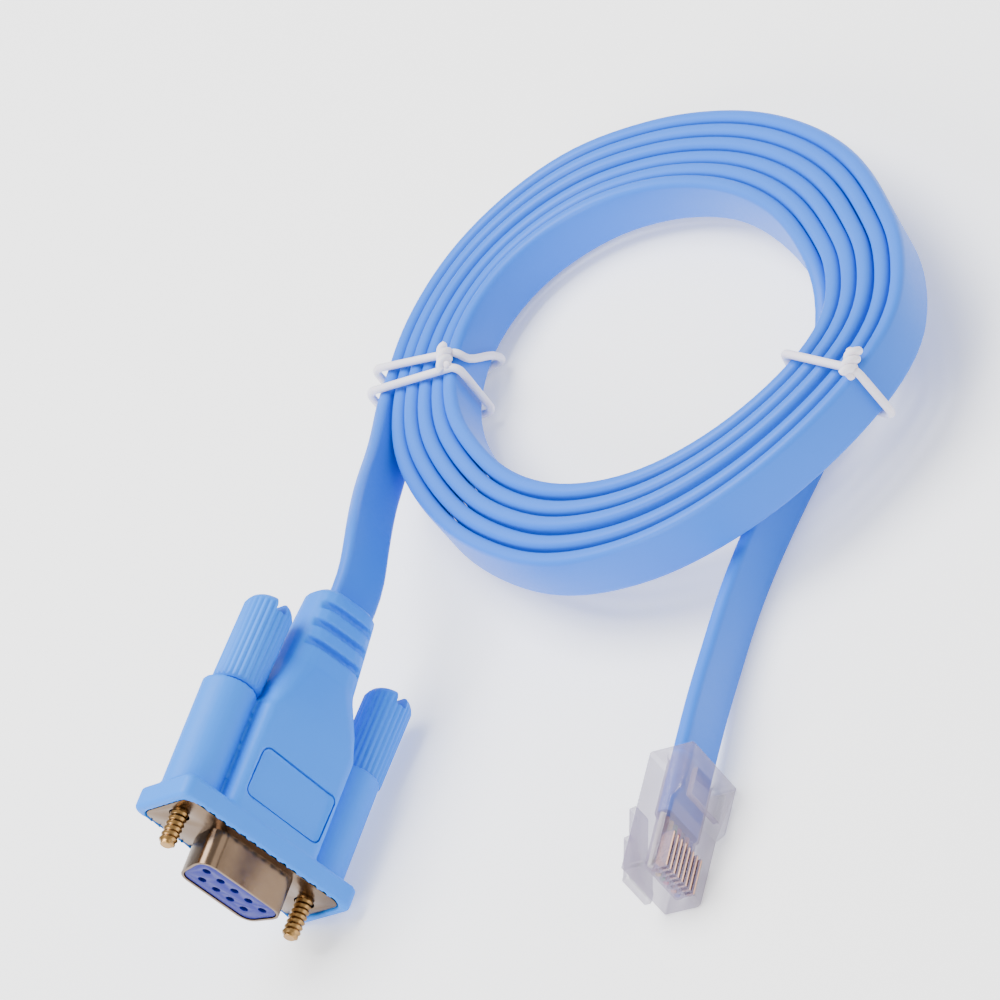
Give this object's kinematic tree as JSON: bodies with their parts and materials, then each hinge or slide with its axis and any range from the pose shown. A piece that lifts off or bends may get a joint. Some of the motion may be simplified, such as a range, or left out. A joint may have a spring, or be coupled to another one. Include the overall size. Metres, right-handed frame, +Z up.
{
  "type": "rj45 console cable",
  "caption": "Coiled flat console cable with a nine-way D-shaped socket connector with thumbscrews on one end and a clear modular plug on the other.",
  "frame": {"origin": "middle of the clear plug's lower narrow side, which lies on the table at Z = 0", "axes": "+Z up from the table; the coil and both connectors stand on edge on it; +Y runs along the coil's long axis, away from the two connectors' mating ends, and +X to the right of the viewer who looks along +Y"},
  "size_m": [0.1476, 0.1626, 0.0357],
  "materials": {
    "hood": "satin moulded vinyl",
    "shell_metal": "bright plated steel with a warm tint",
    "screw_metal": "yellow-plated steel",
    "insulator": "satin blue-violet thermoplastic",
    "contact_gold": "gold-plated",
    "clear_plastic": "clear polycarbonate",
    "cable_jacket": "smooth satin vinyl",
    "tie_plastic": "plastic-coated twist tie",
    "wire_blue": "satin insulation",
    "wire_orange": "satin insulation",
    "wire_black": "satin insulation",
    "wire_red": "satin insulation",
    "wire_green": "satin insulation",
    "wire_yellow": "satin insulation",
    "wire_brown": "satin insulation",
    "wire_white": "satin insulation"
  },
  "bodies": {
    "cable": {"connector_hood": "hood", "dsub_shell": "shell_metal", "dsub_insulator": "insulator", "socket_contact_1": "contact_gold", "socket_contact_2": "contact_gold", "socket_contact_3": "contact_gold", "socket_contact_4": "contact_gold", "socket_contact_5": "contact_gold", "socket_contact_6": "contact_gold", "socket_contact_7": "contact_gold", "socket_contact_8": "contact_gold", "socket_contact_9": "contact_gold", "plug_body": "clear_plastic", "plug_contact_1": "contact_gold", "plug_contact_2": "contact_gold", "plug_contact_3": "contact_gold", "plug_contact_4": "contact_gold", "plug_contact_5": "contact_gold", "plug_contact_6": "contact_gold", "plug_contact_7": "contact_gold", "plug_contact_8": "contact_gold", "conductor_1": "wire_blue", "conductor_2": "wire_orange", "conductor_3": "wire_black", "conductor_4": "wire_red", "conductor_5": "wire_green", "conductor_6": "wire_yellow", "conductor_7": "wire_brown", "conductor_8": "wire_white", "cable_coil": "cable_jacket", "cable_lead_socket": "cable_jacket", "cable_lead_plug": "cable_jacket", "tie_left": "tie_plastic", "tie_right": "tie_plastic"},
    "upper_thumbscrew": {"thumbscrew_head_upper": "hood", "jackscrew_upper": "screw_metal"},
    "lower_thumbscrew": {"thumbscrew_head_lower": "hood", "jackscrew_lower": "screw_metal"},
    "latch": {"plug_latch": "clear_plastic"}
  },
  "joints": [
    {"name": "upper_screw_spin", "type": "hinge", "parent": "cable", "child": "upper_thumbscrew", "pos_m": [-0.05343, 0.05102, 0.02985], "axis": [0.7761, 0.6285, 0.0523], "continuous": true},
    {"name": "lower_screw_spin", "type": "hinge", "parent": "cable", "child": "lower_thumbscrew", "pos_m": [-0.04917, 0.04778, 0.00544], "axis": [0.7761, 0.6285, 0.0523], "continuous": true},
    {"name": "latch_press", "type": "hinge", "parent": "cable", "child": "latch", "pos_m": [-0.00928, -0.00418, 0.00584], "axis": [0, 0, 1], "range_deg": [-8, 0], "stiffness_Nm_per_rad": 0.05}
  ]
}
